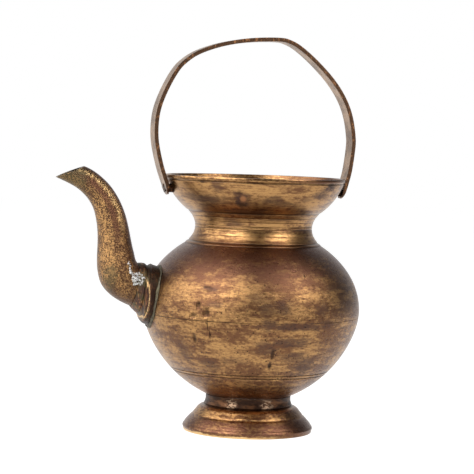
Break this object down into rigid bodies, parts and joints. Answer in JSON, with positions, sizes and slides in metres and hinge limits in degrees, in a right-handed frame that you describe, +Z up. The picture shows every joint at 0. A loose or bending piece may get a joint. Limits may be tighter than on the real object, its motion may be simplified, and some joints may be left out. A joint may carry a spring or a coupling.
{
  "type": "spouted water pot",
  "caption": "Brass spouted water pot (kamandal) with a flared mouth, round belly, pedestal foot, curved spout and a swinging strap bail handle.",
  "frame": {"origin": "on the surface that the pot stands on, at the middle of the bounding box; the pot's own axis is at x = 0.0323", "axes": "+Z up, the spout points towards -X, the handle's pivots lie along X"},
  "size_m": [0.216, 0.1514, 0.2747],
  "materials": {
    "mouth_brass": "worn, turned, warm gold with dark blotches",
    "bowl_brass": "aged, streaked patina, satin",
    "foot_brass": "aged dark brown with worn bright edges",
    "collar_brass": "dark aged brass",
    "spout_brass": "speckled worn cast brass",
    "old_solder": "dull grey-green old solder",
    "tin_solder": "rough bright tin solder",
    "strap_brass": "dull brown hammered strap",
    "rivet_brass": "dark hammered brass"
  },
  "bodies": {
    "vessel": {"mouth_collar": "mouth_brass", "upper_bowl": "bowl_brass", "lower_bowl": "bowl_brass", "foot": "foot_brass", "spout_collar": "collar_brass", "spout_tube": "spout_brass", "collar_solder": "old_solder", "spout_solder": "tin_solder", "rivet_spout_side": "rivet_brass", "spacer_spout_side": "rivet_brass", "washer_spout_side": "rivet_brass", "rivet_far_side": "rivet_brass", "spacer_far_side": "rivet_brass", "washer_far_side": "rivet_brass"},
    "bail": {"bail_handle": "strap_brass"}
  },
  "joints": [
    {"name": "bail_swing", "type": "hinge", "parent": "vessel", "child": "bail", "pos_m": [0.0323, 0, 0.1684], "axis": [1, 0, 0], "range_deg": [-125, 125]}
  ]
}
